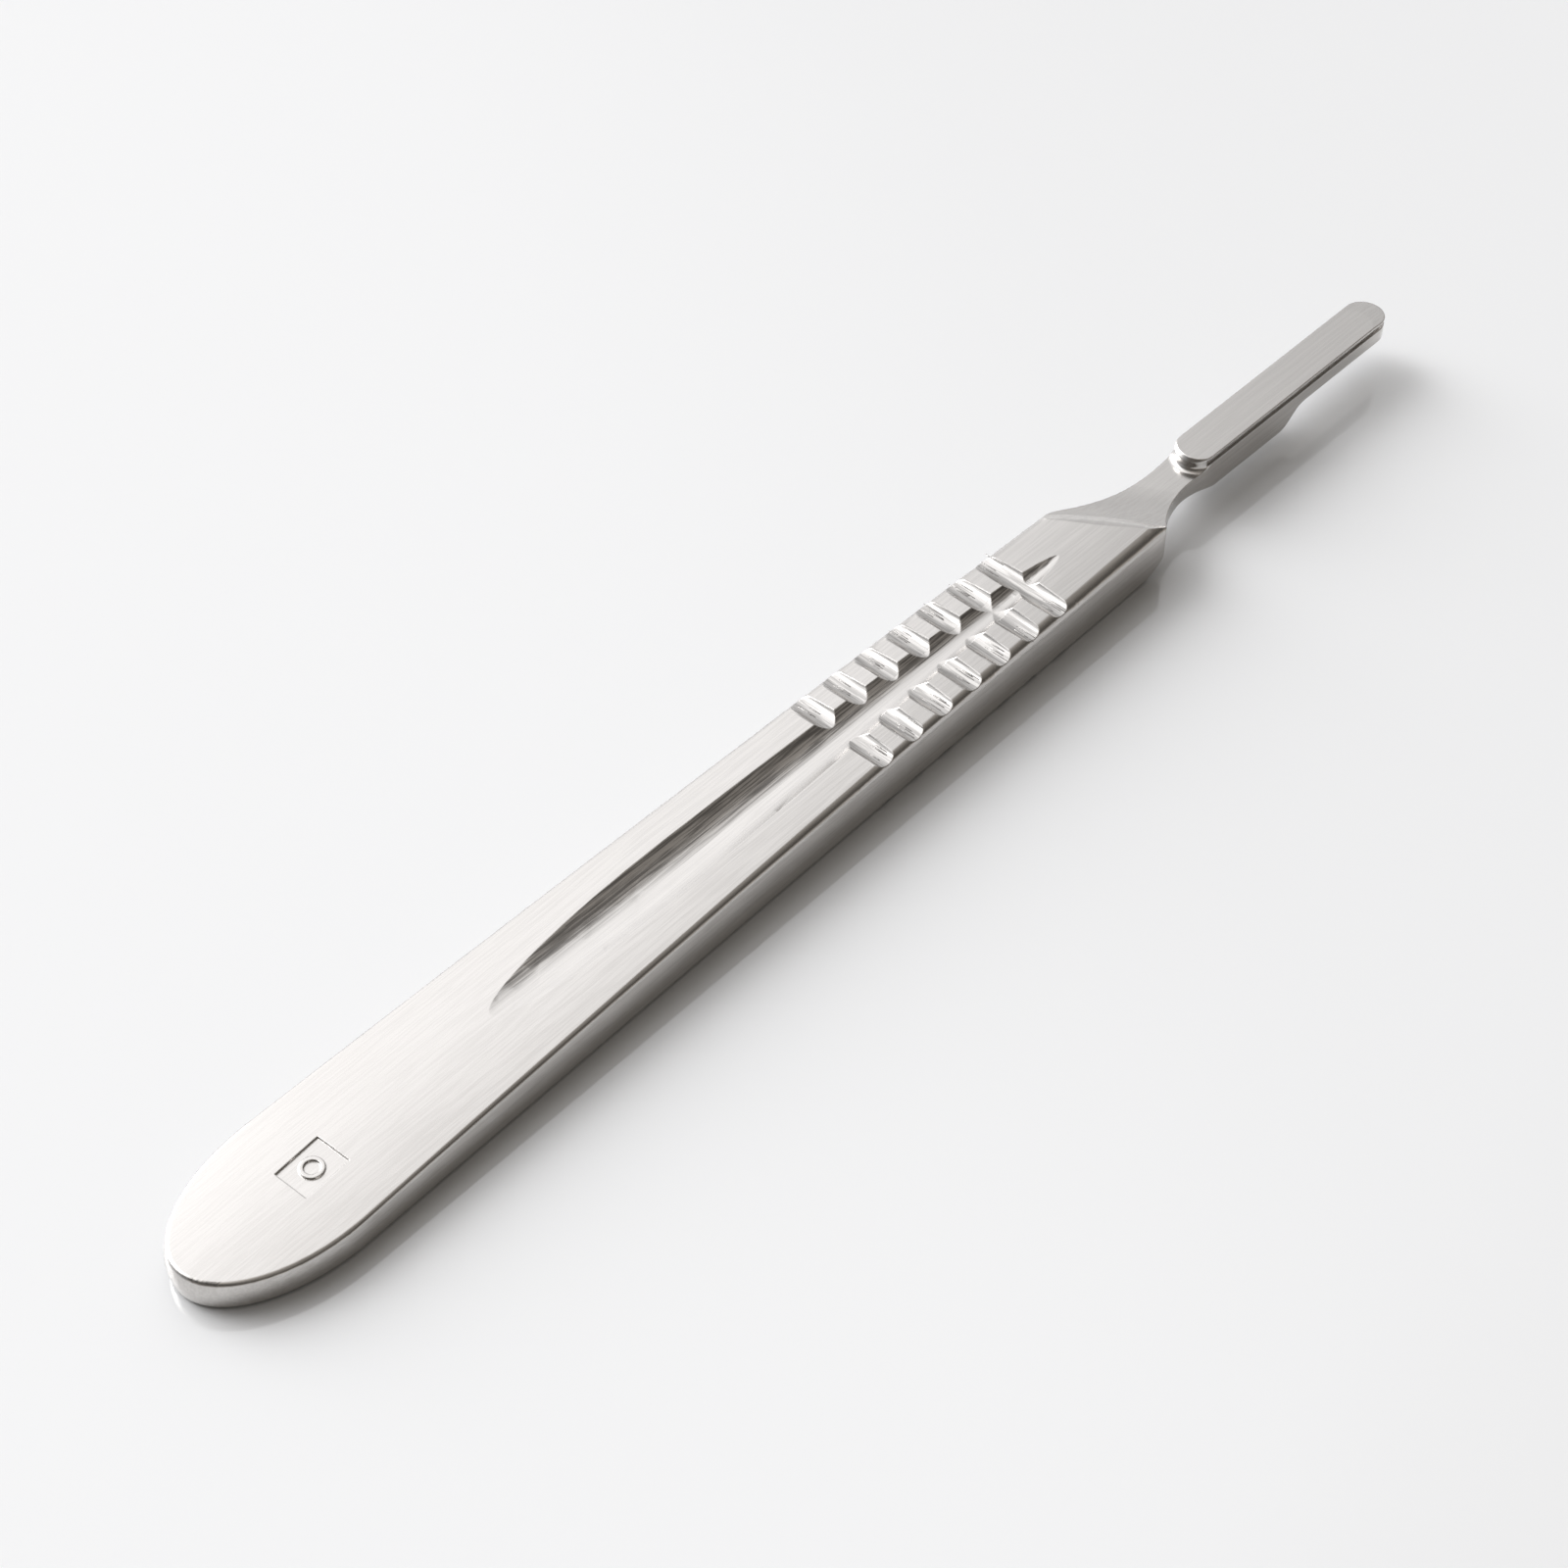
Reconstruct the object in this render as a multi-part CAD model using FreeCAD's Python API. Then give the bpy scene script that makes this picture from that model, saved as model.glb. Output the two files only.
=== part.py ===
import FreeCAD, Part
import math
import os

os.makedirs("parts", exist_ok=True)

# Scalpel handle, one forged piece. Millimetres, +X from the rounded tail to
# the blade end, +Z up, the flat underside on Z = 0, centred in X and Y.

# Overall
LENGTH = 137.0
TAIL_LENGTH = 11.5
TAIL_HALF_WIDTH = 6.38
GRIP_X = 97.0
GRIP_HALF_WIDTH = 4.45
SIDE_BULGE = 0.26

# Crown of the upper face, heights of its centre line above the underside
HEIGHT_TAIL = 2.88
HEIGHT_MIDDLE = 4.51
HEIGHT_SHOULDER = 5.22
CROSS_CROWN_RADIUS = 55.0
MIDDLE_X = 51.0
SHOULDER_X = 100.0

# Lengthwise channel of the upper face
CHANNEL_FLOOR_X1 = 50.0
CHANNEL_FLOOR_Z1 = 3.79
CHANNEL_FLOOR_X2 = 86.6
CHANNEL_FLOOR_Z2 = 4.61
CHANNEL_TAIL_RADIUS = 330.0
CHANNEL_TAIL_RUN = 26.0
CHANNEL_FRONT_RADIUS = 66.0
CHANNEL_FRONT_RUN = 10.0
CHANNEL_AXIS_RISE_TAIL = 5.70
CHANNEL_AXIS_RISE_FRONT = 0.60
CHANNEL_TAIL_X = 27.0
CHANNEL_FRONT_X = 95.0
UNDER_CHANNEL_RISE = 0.12

# Finger grip: scoops across the face
GRIP_COUNT = 7
GRIP_FIRST_X = 67.78
GRIP_PITCH = 3.58
GRIP_DEPTH = 0.51
GRIP_SCOOP_RADIUS = 1.52
GRIP_UNDER_DEPTH = 0.40

# Shoulder and neck
SHOULDER_CENTRE_X = 99.95
SHOULDER_SKEW = 34.5
SHOULDER_ARC_RADIUS = 30.0
SHOULDER_ROUND_RADIUS = 3.0
SHOULDER_ENTRY_TILT = 4.0
SHOULDER_FACET_TILT = 25.0
SHOULDER_FACET_RUN = 0.55
NECK_TOP_Z = 4.0
NECK_RAMP = 5.0
FLANK_FAR_START_X = 97.5
FLANK_FAR_WAIST_X = 107.6
FLANK_FAR_WAIST = 1.48
FLANK_FAR_CORNER_RADIUS = 4.0
FLANK_NEAR_START_X = 102.6
FLANK_NEAR_WAIST_X = 109.0
FLANK_NEAR_WAIST = 1.66
FLANK_NEAR_CORNER_RADIUS = 0.6
FLANK_ENTRY_TILT = 8.0

# Underside ahead of the grip
HEEL_X = 99.6
HEEL_RADIUS = 4.0
NECK_UNDER_Z = 2.42
ARCH_X = 106.9
ARCH_Z = 2.62
TONGUE_REAR_X = 112.4
TONGUE_REAR_Z = 1.55
TONGUE_STEP_X1 = 121.3
TONGUE_STEP_X2 = 124.7
TONGUE_FRONT_Z = 3.15
TONGUE_STEP_EASE = 0.45

# Blade fitting
BOSS_REAR_X = 110.05
BOSS_SIDE_X = 111.4
BOSS_HALF_WIDTH = 1.80
BOSS_COVE_RADIUS = 0.50
BOSS_REAR_BEVEL = 0.30
BOSS_REAR_BEVEL_RADIUS = 1.95
BOSS_REAR_BEVEL_SLOPE = 1.0
BOSS_TOP_Z = 5.20
BOSS_LIP = 0.36
BOSS_LIP_RIM = 0.24
BLADE_SLOT = 0.42
BLADE_SLOT_DEPTH = 0.55
BLADE_SLOT_REAR_X = 111.2
TIP_BEVEL_RUN = 1.8
TIP_BEVEL_RADIUS = 1.95
TIP_BEVEL_SLOPE = 0.08

# Size stamp
STAMP_X = 12.3
STAMP_Y = -0.33
STAMP_LENGTH = 4.2
STAMP_WIDTH = 3.15
STAMP_TURN = 2.4
STAMP_DEPTH = 0.18
STAMP_RING_OUTER = 0.95
STAMP_RING_INNER = 0.62

# How far cutting shapes reach past the handle, and how much joined shapes share
CUT_REACH = 12.0
CUT_MARGIN = 2.0
NECK_SWEEP = 60.0
CRESCENT_SWEEP = 160.0
TONGUE_OVERLAP = 3.0
BARREL_LEVELS = (-0.15, 0.5, 1.15)

# Repeated sums that settle the slope of the sides
TAPER_PASSES = 12

# Stainless steel, grams per cubic millimetre
STEEL_DENSITY = 0.0078

# How the edges to be rounded are told from the others
FLAT_MARGIN = 0.01
SHORT_EDGE = 1.0
RIM_MARGIN = 0.25

# Edge roundings
TOP_EDGE_TAIL = 0.35
TOP_EDGE_FRONT = 1.05
BOTTOM_EDGE = 0.45
BOSS_EDGE = 0.07


def vec(x, y, z):
    return FreeCAD.Vector(x, y, z)


def crown_circle():
    """Lengthwise circle through the three heights of the upper face."""
    return Part.Circle(vec(0, 0, HEIGHT_TAIL), vec(MIDDLE_X, 0, HEIGHT_MIDDLE),
                       vec(SHOULDER_X, 0, HEIGHT_SHOULDER))


def face_height(x):
    """Height of the centre line of the upper face at x."""
    circle = crown_circle()
    centre = circle.Center
    return centre.z + math.sqrt(circle.Radius ** 2 - (x - centre.x) ** 2)


def rim_height(x):
    """Height of the upper face at its side edges at x."""
    y = side_half_width(x) - SIDE_BULGE
    return face_height(x) - y ** 2 / (2 * CROSS_CROWN_RADIUS)


def side_half_width(x):
    """Half width of the tapered grip at x."""
    slope = taper_slope()
    return GRIP_HALF_WIDTH + slope * (GRIP_X - x)


def taper_slope():
    """Slope of the sides that leaves the tail ellipse at a tangent."""
    slope = 0
    for _ in range(TAPER_PASSES):
        s = slope * TAIL_LENGTH / TAIL_HALF_WIDTH
        s = s / math.sqrt(1 + s * s)
        x = TAIL_LENGTH * (1 + s)
        y = TAIL_HALF_WIDTH * math.sqrt(1 - s * s)
        slope = (y - GRIP_HALF_WIDTH) / (GRIP_X - x)
    return slope


def outline(inset, front_x):
    """Plan outline as a wire: half-ellipse tail, straight tapered sides."""
    a = TAIL_LENGTH - inset
    b = TAIL_HALF_WIDTH - inset
    slope = taper_slope()
    s = slope * a / b
    s = s / math.sqrt(1 + s * s)
    turn = math.acos(-s)
    ellipse = Part.Ellipse(vec(TAIL_LENGTH, 0, 0), a, b)
    x = TAIL_LENGTH + a * s
    y = b * math.sqrt(1 - s * s)
    front_y = y - slope * (front_x - x)
    angle = math.pi - turn
    tail = Part.ArcOfEllipse(ellipse, angle, 2 * math.pi - angle).toShape()
    far = Part.makeLine(vec(front_x, front_y, 0), vec(x, y, 0))
    near = Part.makeLine(vec(x, -y, 0), vec(front_x, -front_y, 0))
    front = Part.makeLine(vec(front_x, -front_y, 0), vec(front_x, front_y, 0))
    return Part.Wire([far, tail, near, front])


def barrel_solid():
    """Grip with sides that bulge at mid height, on planes that follow the wedge."""
    rise = (HEIGHT_SHOULDER - HEIGHT_TAIL) / SHOULDER_X
    wires = []
    for level in BARREL_LEVELS:
        inset = SIDE_BULGE * (2 * level - 1) ** 2
        wire = outline(inset, BOSS_REAR_X)
        wire.rotate(vec(0, 0, 0), vec(0, 1, 0), -math.degrees(math.atan(rise * level)))
        wire.translate(vec(0, 0, HEIGHT_TAIL * level))
        wires.append(wire)
    return Part.makeLoft(wires, True, False)


def arc_edge(p, q, r):
    return Part.Arc(p, q, r).toShape()


def underside_edges():
    """Lower line of the side view from the tail to the tip."""
    run = math.sqrt(HEEL_RADIUS ** 2 - (HEEL_RADIUS - NECK_UNDER_Z) ** 2)
    turn = math.acos(1 - NECK_UNDER_Z / HEEL_RADIUS) / 2
    a = HEEL_RADIUS * math.sin(turn)
    b = HEEL_RADIUS * (1 - math.cos(turn))
    heel = arc_edge(vec(HEEL_X, 0, 0), vec(HEEL_X + a, 0, b),
                    vec(HEEL_X + run, 0, NECK_UNDER_Z))
    arch = arc_edge(vec(HEEL_X + run, 0, NECK_UNDER_Z), vec(ARCH_X, 0, ARCH_Z),
                    vec(TONGUE_REAR_X, 0, TONGUE_REAR_Z))
    flat = Part.makeLine(vec(TONGUE_REAR_X, 0, TONGUE_REAR_Z),
                         vec(TONGUE_STEP_X1, 0, TONGUE_REAR_Z))
    step = Part.BezierCurve()
    reach = TONGUE_STEP_EASE * (TONGUE_STEP_X2 - TONGUE_STEP_X1)
    step.setPoles([vec(TONGUE_STEP_X1, 0, TONGUE_REAR_Z),
                   vec(TONGUE_STEP_X1 + reach, 0, TONGUE_REAR_Z),
                   vec(TONGUE_STEP_X2 - reach, 0, TONGUE_FRONT_Z),
                   vec(TONGUE_STEP_X2, 0, TONGUE_FRONT_Z)])
    front = Part.makeLine(vec(TONGUE_STEP_X2, 0, TONGUE_FRONT_Z),
                          vec(LENGTH + CUT_MARGIN, 0, TONGUE_FRONT_Z))
    return [heel, arch, flat, step.toShape(), front]


def side_view_solid():
    """Everything above the underside line."""
    start_x = -CUT_MARGIN
    start = Part.makeLine(vec(start_x, 0, 0), vec(HEEL_X, 0, 0))
    end_x = LENGTH + CUT_MARGIN
    top = CUT_REACH
    up = Part.makeLine(vec(end_x, 0, TONGUE_FRONT_Z), vec(end_x, 0, top))
    back = Part.makeLine(vec(end_x, 0, top), vec(start_x, 0, top))
    down = Part.makeLine(vec(start_x, 0, top), vec(start_x, 0, 0))
    wire = Part.Wire([start] + underside_edges() + [up, back, down])
    face = Part.Face(wire)
    solid = face.extrude(vec(0, 2 * CUT_REACH, 0))
    solid.translate(vec(0, -CUT_REACH, 0))
    return solid


def crown_solid():
    """Everything under the upper face, which is crowned along and across."""
    circle = crown_circle()
    centre = circle.Center
    top = centre.z + circle.Radius
    half = TAIL_HALF_WIDTH + CUT_MARGIN
    drop = CROSS_CROWN_RADIUS - math.sqrt(CROSS_CROWN_RADIUS ** 2 - half ** 2)
    left = vec(centre.x, -half, top - drop)
    right = vec(centre.x, half, top - drop)
    low = top - 2 * CUT_REACH
    edges = [arc_edge(left, vec(centre.x, 0, top), right),
             Part.makeLine(right, vec(centre.x, half, low)),
             Part.makeLine(vec(centre.x, half, low), vec(centre.x, -half, low)),
             Part.makeLine(vec(centre.x, -half, low), left)]
    face = Part.Face(Part.Wire(edges))
    span = math.degrees((LENGTH + 2 * CUT_REACH) / circle.Radius)
    start = math.degrees((centre.x + CUT_REACH) / circle.Radius)
    axis_point = vec(centre.x, 0, centre.z)
    face.rotate(axis_point, vec(0, 1, 0), -start)
    return face.revolve(axis_point, vec(0, 1, 0), span)


def flank_cutter(start_x, waist_x, waist, corner_radius, side):
    """Removes the metal outside one flank of the neck.

    In plan the flank is a rounded corner, a hollow arc down to the waist of
    the neck and a shorter hollow arc out again to the side of the boss.
    """
    run = waist_x - start_x
    drop = side_half_width(start_x) - waist
    radius = (run ** 2 + drop ** 2) / (2 * drop)

    def hollow(x):
        return waist + radius - math.sqrt(radius ** 2 - (waist_x - x) ** 2)

    entry = math.radians(FLANK_ENTRY_TILT)
    corner = math.asin(run / radius)
    join_x = start_x + corner_radius * math.tan(corner / 2)
    tilt = math.asin((waist_x - join_x) / radius)

    def rounded(angle):
        return (join_x - corner_radius * (math.sin(tilt) - math.sin(angle)),
                hollow(join_x) + corner_radius * (math.cos(angle) - math.cos(tilt)))

    def at(x, y):
        return vec(x, side * y, -CUT_MARGIN)

    first_x, first_y = rounded(entry)
    out_x = first_x - CUT_MARGIN * math.cos(entry)
    out_y = first_y + CUT_MARGIN * math.sin(entry)
    middle_x = (join_x + waist_x) / 2
    lead_run = BOSS_SIDE_X - waist_x
    lead_drop = BOSS_HALF_WIDTH - waist
    lead_radius = (lead_run ** 2 + lead_drop ** 2) / (2 * lead_drop)
    lead_middle = waist + lead_radius - math.sqrt(lead_radius ** 2 - (lead_run / 2) ** 2)
    edges = [Part.makeLine(at(out_x, out_y), at(first_x, first_y)),
             arc_edge(at(first_x, first_y), at(*rounded((entry + tilt) / 2)),
                      at(join_x, hollow(join_x))),
             arc_edge(at(join_x, hollow(join_x)), at(middle_x, hollow(middle_x)),
                      at(waist_x, waist)),
             arc_edge(at(waist_x, waist), at(waist_x + lead_run / 2, lead_middle),
                      at(BOSS_SIDE_X, BOSS_HALF_WIDTH)),
             Part.makeLine(at(BOSS_SIDE_X, BOSS_HALF_WIDTH), at(BOSS_SIDE_X, CUT_REACH)),
             Part.makeLine(at(BOSS_SIDE_X, CUT_REACH), at(out_x, CUT_REACH)),
             Part.makeLine(at(out_x, CUT_REACH), at(out_x, out_y))]
    return Part.Face(Part.Wire(edges)).extrude(vec(0, 0, CUT_REACH))


def flank_cutters():
    return [flank_cutter(FLANK_FAR_START_X, FLANK_FAR_WAIST_X, FLANK_FAR_WAIST,
                         FLANK_FAR_CORNER_RADIUS, 1),
            flank_cutter(FLANK_NEAR_START_X, FLANK_NEAR_WAIST_X, FLANK_NEAR_WAIST,
                         FLANK_NEAR_CORNER_RADIUS, -1)]


def neck_cutter():
    """Turned about an upright axis: the rounded shoulder, its facet and the neck ramp."""
    skew = math.radians(SHOULDER_SKEW)
    centre = vec(SHOULDER_CENTRE_X - SHOULDER_ARC_RADIUS * math.cos(skew),
                 -SHOULDER_ARC_RADIUS * math.sin(skew), 0)
    entry = math.radians(SHOULDER_ENTRY_TILT)
    tilt = math.radians(SHOULDER_FACET_TILT)
    r = SHOULDER_ARC_RADIUS
    top = face_height(SHOULDER_CENTRE_X)

    def rounded(angle):
        return vec(r - SHOULDER_ROUND_RADIUS * (math.sin(tilt) - math.sin(angle)), 0,
                   top - SHOULDER_ROUND_RADIUS * (math.cos(entry) - math.cos(angle)))

    start = rounded(entry)
    above = vec(start.x - CUT_MARGIN, 0, start.z + CUT_MARGIN * math.tan(entry))
    ridge = rounded(tilt)
    foot = vec(r + SHOULDER_FACET_RUN, 0, ridge.z - SHOULDER_FACET_RUN * math.tan(tilt))
    drop = foot.z - NECK_TOP_Z
    radius = (NECK_RAMP ** 2 + drop ** 2) / (2 * drop)
    half = NECK_RAMP / 2
    middle = vec(foot.x + half, 0, NECK_TOP_Z + radius - math.sqrt(radius ** 2 - half ** 2))
    low = vec(foot.x + NECK_RAMP, 0, NECK_TOP_Z)
    end = vec(r + 2 * CUT_REACH, 0, NECK_TOP_Z)
    ceiling = NECK_TOP_Z + CUT_REACH
    edges = [Part.makeLine(above, start),
             arc_edge(start, rounded((entry + tilt) / 2), ridge),
             Part.makeLine(ridge, foot),
             arc_edge(foot, middle, low),
             Part.makeLine(low, end),
             Part.makeLine(end, vec(end.x, 0, ceiling)),
             Part.makeLine(vec(end.x, 0, ceiling), vec(above.x, 0, ceiling)),
             Part.makeLine(vec(above.x, 0, ceiling), above)]
    face = Part.Face(Part.Wire(edges))
    origin = vec(0, 0, 0)
    face.rotate(origin, vec(0, 0, 1), SHOULDER_SKEW - NECK_SWEEP / 2)
    solid = face.revolve(origin, vec(0, 0, 1), NECK_SWEEP)
    solid.translate(centre)
    return solid


def channel_cutter():
    """Spindle turned about a leaning axis; it leaves the long pointed channel."""
    slope = (CHANNEL_FLOOR_Z2 - CHANNEL_FLOOR_Z1) / (CHANNEL_FLOOR_X2 - CHANNEL_FLOOR_X1)
    lean = math.atan(slope)
    axis_a = vec(CHANNEL_TAIL_X, 0, face_height(CHANNEL_TAIL_X) + CHANNEL_AXIS_RISE_TAIL)
    axis_b = vec(CHANNEL_FRONT_X, 0, face_height(CHANNEL_FRONT_X) + CHANNEL_AXIS_RISE_FRONT)
    axis = axis_b.sub(axis_a)
    p1 = vec(CHANNEL_FLOOR_X1, 0, CHANNEL_FLOOR_Z1)
    p2 = vec(CHANNEL_FLOOR_X2, 0, CHANNEL_FLOOR_Z2)

    def run_out(start, radius, angle):
        turn = lean + angle
        x = start.x + radius * (math.sin(turn) - math.sin(lean))
        z = start.z + radius * (math.cos(lean) - math.cos(turn))
        return vec(x, 0, z)

    tail_turn = -CHANNEL_TAIL_RUN / CHANNEL_TAIL_RADIUS
    front_turn = CHANNEL_FRONT_RUN / CHANNEL_FRONT_RADIUS
    q0 = run_out(p1, CHANNEL_TAIL_RADIUS, tail_turn)
    q1 = run_out(p1, CHANNEL_TAIL_RADIUS, tail_turn / 2)
    q3 = run_out(p2, CHANNEL_FRONT_RADIUS, front_turn / 2)
    q4 = run_out(p2, CHANNEL_FRONT_RADIUS, front_turn)

    def foot(point):
        t = point.sub(axis_a).dot(axis) / axis.dot(axis)
        return axis_a.add(vec(axis.x * t, axis.y * t, axis.z * t))

    edges = [arc_edge(q0, q1, p1), Part.makeLine(p1, p2), arc_edge(p2, q3, q4)]
    edges.append(Part.makeLine(q4, foot(q4)))
    edges.append(Part.makeLine(foot(q4), foot(q0)))
    edges.append(Part.makeLine(foot(q0), q0))
    face = Part.Face(Part.Wire(edges))
    return face.revolve(axis_a, axis, 360)


def grip_cutters():
    """Round scoops, each one pass straight across the face, on both faces."""
    def scoop(x, z):
        return Part.makeCylinder(GRIP_SCOOP_RADIUS, 2 * CUT_REACH, vec(x, -CUT_REACH, z),
                                 vec(0, 1, 0))

    cutters = []
    for i in range(GRIP_COUNT):
        x = GRIP_FIRST_X + GRIP_PITCH * i
        z = face_height(x) - GRIP_DEPTH + GRIP_SCOOP_RADIUS
        cutters.append(scoop(x, z))
        z = GRIP_UNDER_DEPTH - GRIP_SCOOP_RADIUS
        cutters.append(scoop(x, z))
    return cutters


def stadium(half_width, rear_x, front_x, z, height, square_rear=False):
    """Upright slab with round ends; the rear end may be square."""
    rear = rear_x if square_rear else rear_x + half_width
    front = front_x - half_width
    edges = [Part.makeLine(vec(rear, -half_width, z), vec(front, -half_width, z)),
             arc_edge(vec(front, -half_width, z), vec(front_x, 0, z), vec(front, half_width, z)),
             Part.makeLine(vec(front, half_width, z), vec(rear, half_width, z))]
    if square_rear:
        edges.append(Part.makeLine(vec(rear, half_width, z), vec(rear, -half_width, z)))
    else:
        edges.append(arc_edge(vec(rear, half_width, z), vec(rear_x, 0, z),
                              vec(rear, -half_width, z)))
    return Part.Face(Part.Wire(edges)).extrude(vec(0, 0, height))


def tongue_solid():
    """Lower part of the blade fitting, under the boss."""
    slab = stadium(BOSS_HALF_WIDTH, BOSS_REAR_X - TONGUE_OVERLAP, LENGTH, -CUT_MARGIN,
                   CUT_MARGIN + BOSS_TOP_Z, True)
    return slab.common(side_view_tongue()).cut(flank_cutters())


def side_view_tongue():
    """Side view of the fitting: underside line below, boss top above."""
    end_x = LENGTH + CUT_MARGIN
    rear_x = HEEL_X
    top = BOSS_TOP_Z
    edges = underside_edges()
    edges.append(Part.makeLine(vec(end_x, 0, TONGUE_FRONT_Z), vec(end_x, 0, top)))
    edges.append(Part.makeLine(vec(end_x, 0, top), vec(rear_x, 0, top)))
    edges.append(Part.makeLine(vec(rear_x, 0, top), vec(rear_x, 0, 0)))
    solid = Part.Face(Part.Wire(edges)).extrude(vec(0, 2 * CUT_REACH, 0))
    solid.translate(vec(0, -CUT_REACH, 0))
    return solid


def boss_clearance():
    """Space over the neck behind the raised boss, with a cove at the foot of the boss."""
    z = NECK_TOP_Z
    low = z - CUT_MARGIN
    front_x = BOSS_REAR_X + 2 * BOSS_HALF_WIDTH
    block = Part.makeBox(front_x - HEEL_X, 2 * CUT_REACH, CUT_REACH, vec(HEEL_X, -CUT_REACH, z))
    boss = stadium(BOSS_HALF_WIDTH, BOSS_REAR_X, LENGTH, low, 2 * CUT_REACH)
    foot = BOSS_HALF_WIDTH + BOSS_COVE_RADIUS
    rise = z + BOSS_COVE_RADIUS
    bulge = BOSS_COVE_RADIUS * (1 - math.sqrt(0.5))
    edges = [Part.makeLine(vec(0, 0, low), vec(foot, 0, low)),
             Part.makeLine(vec(foot, 0, low), vec(foot, 0, z)),
             arc_edge(vec(foot, 0, z), vec(BOSS_HALF_WIDTH + bulge, 0, z + bulge),
                      vec(BOSS_HALF_WIDTH, 0, rise)),
             Part.makeLine(vec(BOSS_HALF_WIDTH, 0, rise), vec(0, 0, rise)),
             Part.makeLine(vec(0, 0, rise), vec(0, 0, low))]
    cove = Part.Face(Part.Wire(edges)).revolve(vec(0, 0, 0), vec(0, 0, 1), 360)
    cove.translate(vec(BOSS_REAR_X + BOSS_HALF_WIDTH, 0, 0))
    return block.cut(boss).cut(cove)


def crescent_cutter(radius, reach, slope, x, turn):
    """Conical bevel of the boss top; its rim circle leaves a crescent at one end."""
    p0 = vec(radius, 0, BOSS_TOP_Z)
    p1 = vec(radius + reach, 0, BOSS_TOP_Z - slope * reach)
    p2 = vec(radius + reach, 0, BOSS_TOP_Z + CUT_MARGIN)
    p3 = vec(radius, 0, BOSS_TOP_Z + CUT_MARGIN)
    face = Part.Face(Part.makePolygon([p0, p1, p2, p3, p0]))
    face.rotate(vec(0, 0, 0), vec(0, 0, 1), turn - CRESCENT_SWEEP / 2)
    solid = face.revolve(vec(0, 0, 0), vec(0, 0, 1), CRESCENT_SWEEP)
    solid.translate(vec(x, 0, 0))
    return solid


def end_bevel_cutters():
    """The long bevel that eases the blade onto the tip and the short one at the rear."""
    tip = crescent_cutter(TIP_BEVEL_RADIUS, TIP_BEVEL_RUN + CUT_MARGIN, TIP_BEVEL_SLOPE,
                          LENGTH - TIP_BEVEL_RUN - TIP_BEVEL_RADIUS, 0)
    rear = crescent_cutter(BOSS_REAR_BEVEL_RADIUS, CUT_MARGIN, BOSS_REAR_BEVEL_SLOPE,
                           BOSS_REAR_X + BOSS_REAR_BEVEL + BOSS_REAR_BEVEL_RADIUS, 180)
    return [tip, rear]


def slot_cutter():
    """Undercut all round the boss, open towards the rim, where the blade slides in."""
    z = BOSS_TOP_Z - BOSS_LIP - BLADE_SLOT
    inner = BOSS_HALF_WIDTH - BLADE_SLOT_DEPTH
    ceiling = z + BLADE_SLOT
    rim = BOSS_TOP_Z - BOSS_LIP_RIM
    slope = (rim - ceiling) / BLADE_SLOT_DEPTH
    reach = BLADE_SLOT_DEPTH + CUT_MARGIN
    front = LENGTH - BOSS_HALF_WIDTH
    rear = BLADE_SLOT_REAR_X

    def section(x):
        return [vec(x, inner, z), vec(x, inner + reach, z),
                vec(x, inner + reach, ceiling + slope * reach), vec(x, inner, ceiling)]

    points = section(rear)
    side = Part.Face(Part.makePolygon(points + [points[0]])).extrude(vec(front - rear, 0, 0))
    far = side
    near = side.mirror(vec(0, 0, 0), vec(0, 1, 0))
    ends = section(front)
    turned = Part.Face(Part.makePolygon(ends + [ends[0]]))
    nose = turned.revolve(vec(front, 0, 0), vec(0, 0, 1), -180)
    return far.fuse([near, nose])


def stamp_cutter():
    """Recessed size panel near the tail with a plain raised ring left in it."""
    z = face_height(STAMP_X) - STAMP_DEPTH
    panel = Part.makeBox(STAMP_LENGTH, STAMP_WIDTH, CUT_MARGIN,
                         vec(-STAMP_LENGTH / 2, -STAMP_WIDTH / 2, 0))
    low = vec(0, 0, -CUT_MARGIN)
    ring = Part.makeCylinder(STAMP_RING_OUTER, 3 * CUT_MARGIN, low)
    ring = ring.cut(Part.makeCylinder(STAMP_RING_INNER, 3 * CUT_MARGIN, low))
    cutter = panel.cut(ring)
    circle = crown_circle()
    tilt = math.degrees(math.asin((circle.Center.x - STAMP_X) / circle.Radius))
    cutter.rotate(vec(0, 0, 0), vec(0, 0, 1), STAMP_TURN)
    cutter.rotate(vec(0, 0, 0), vec(0, 1, 0), -tilt)
    cutter.translate(vec(STAMP_X, STAMP_Y, z))
    return cutter


def round_edges(shape, radius, keep):
    """Rounds the edges chosen by keep."""
    return shape.makeFillet(radius, [e for e in shape.Edges if keep(e)])


def round_upper_edges(shape, keep):
    """Rounds the upper side edges with a radius that grows from the tail to the shoulder."""
    document = FreeCAD.newDocument("upper_edges")
    grip = document.addObject("Part::Feature", "grip")
    grip.Shape = shape
    rows = []
    for i, edge in enumerate(shape.Edges):
        if keep(edge):
            start = edge.valueAt(edge.FirstParameter)
            end = edge.valueAt(edge.LastParameter)
            radii = [TOP_EDGE_TAIL if point.x < TAIL_LENGTH + 2 * TAIL_HALF_WIDTH
                     else TOP_EDGE_FRONT for point in (start, end)]
            rows.append((i + 1, radii[0], radii[1]))
    rounded = document.addObject("Part::Fillet", "rounded")
    rounded.Base = grip
    rounded.Edges = rows
    document.recompute()
    return rounded.Shape


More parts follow.
